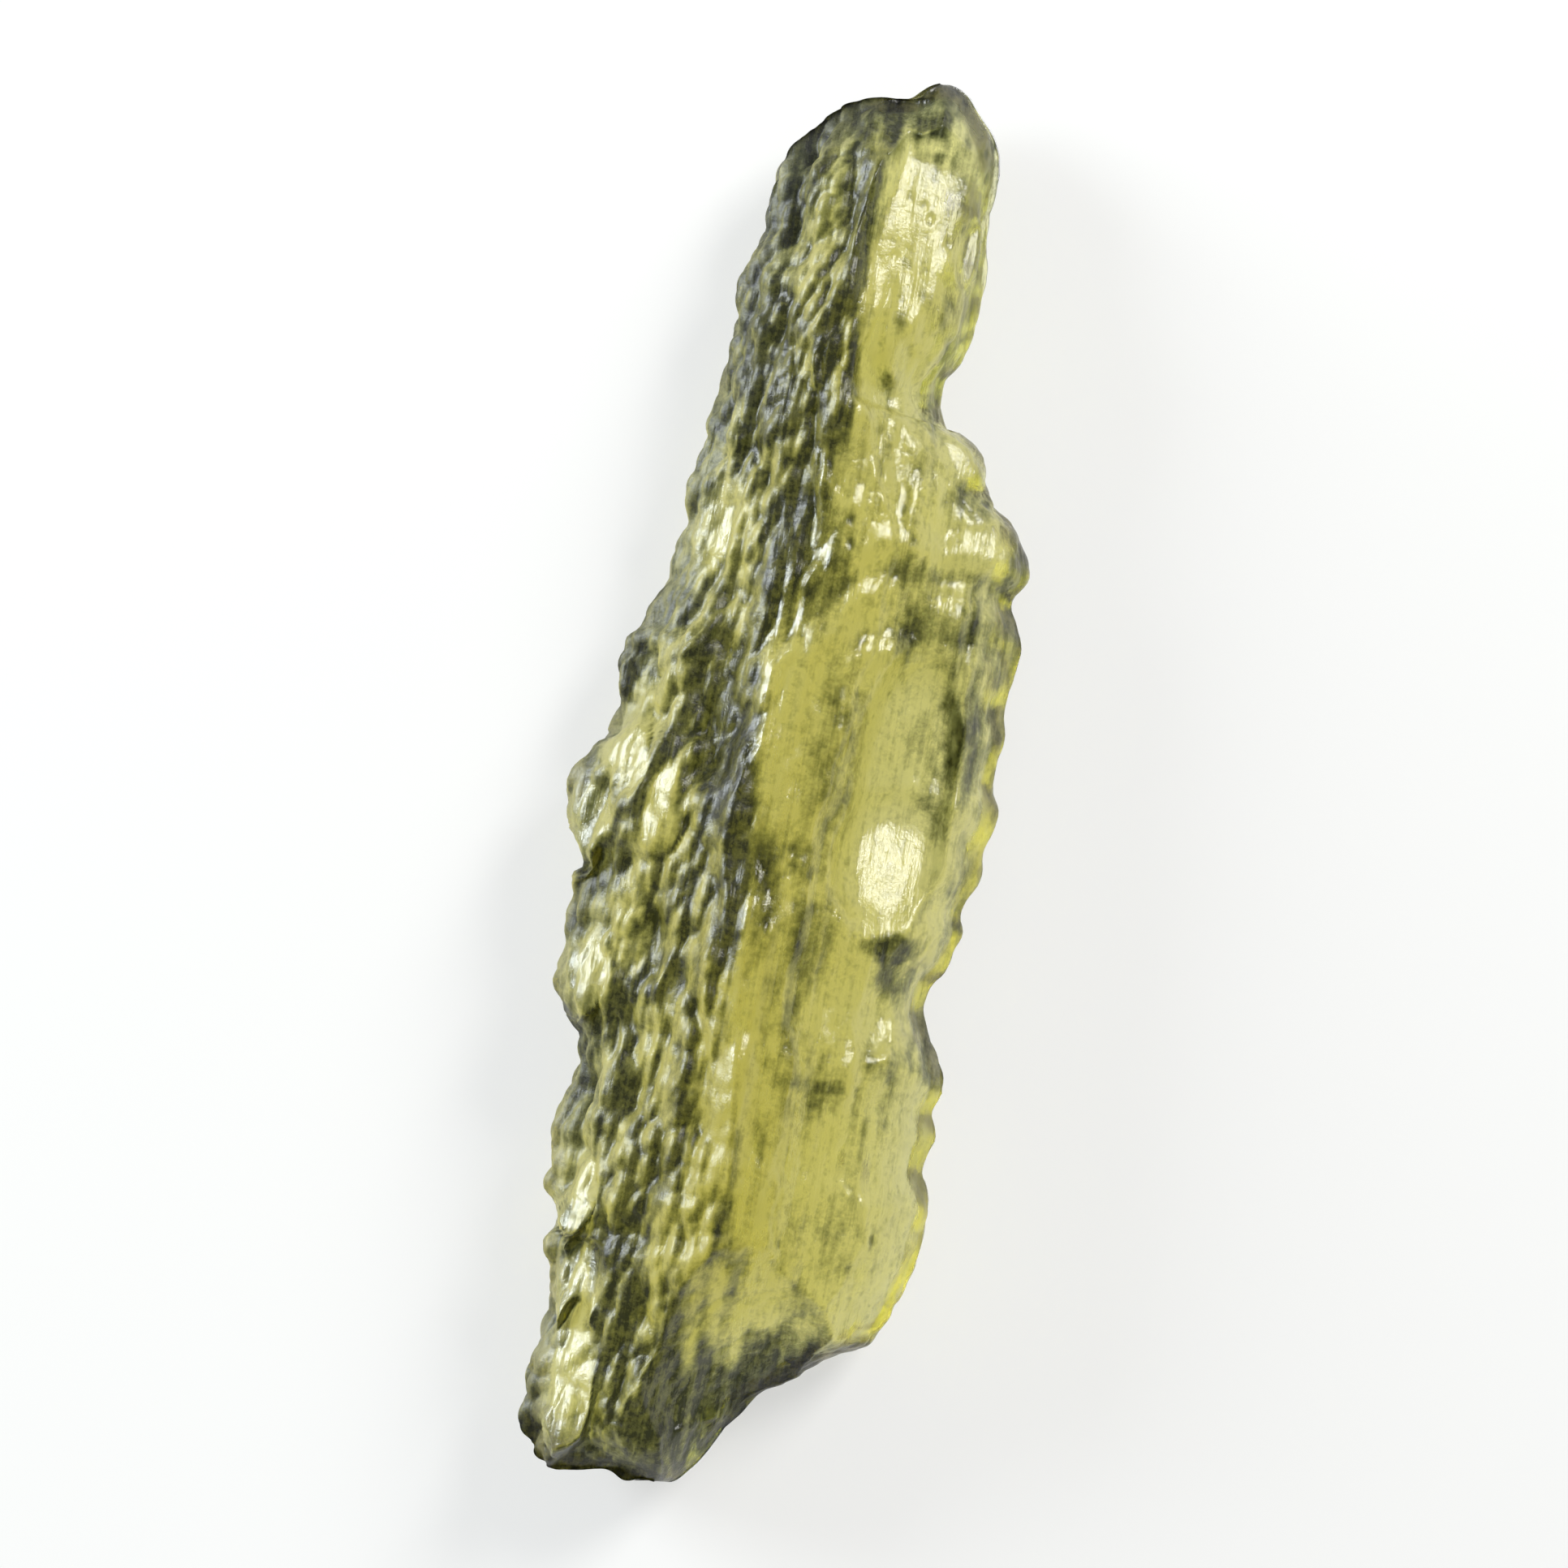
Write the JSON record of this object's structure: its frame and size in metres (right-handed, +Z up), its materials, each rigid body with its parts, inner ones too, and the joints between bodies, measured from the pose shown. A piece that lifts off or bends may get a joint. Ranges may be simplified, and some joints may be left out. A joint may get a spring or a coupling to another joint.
{
  "type": "moldavite tektite",
  "caption": "Long splinter of natural green glass with an etched, pitted left flank, a smooth thin right side with a hollow, a broken crown and a flat face to lie on.",
  "frame": {"origin": "middle of the bounding box, on the ground", "axes": "+Y along the stone towards its broken crown, +Z up through its sculpted face, +X towards its thin smooth side"},
  "size_m": [0.0132, 0.0444, 0.0069],
  "materials": {
    "moldavite_glass": "etched, part frosted"
  },
  "bodies": {
    "root": {"tektite": "moldavite_glass"}
  },
  "joints": []
}
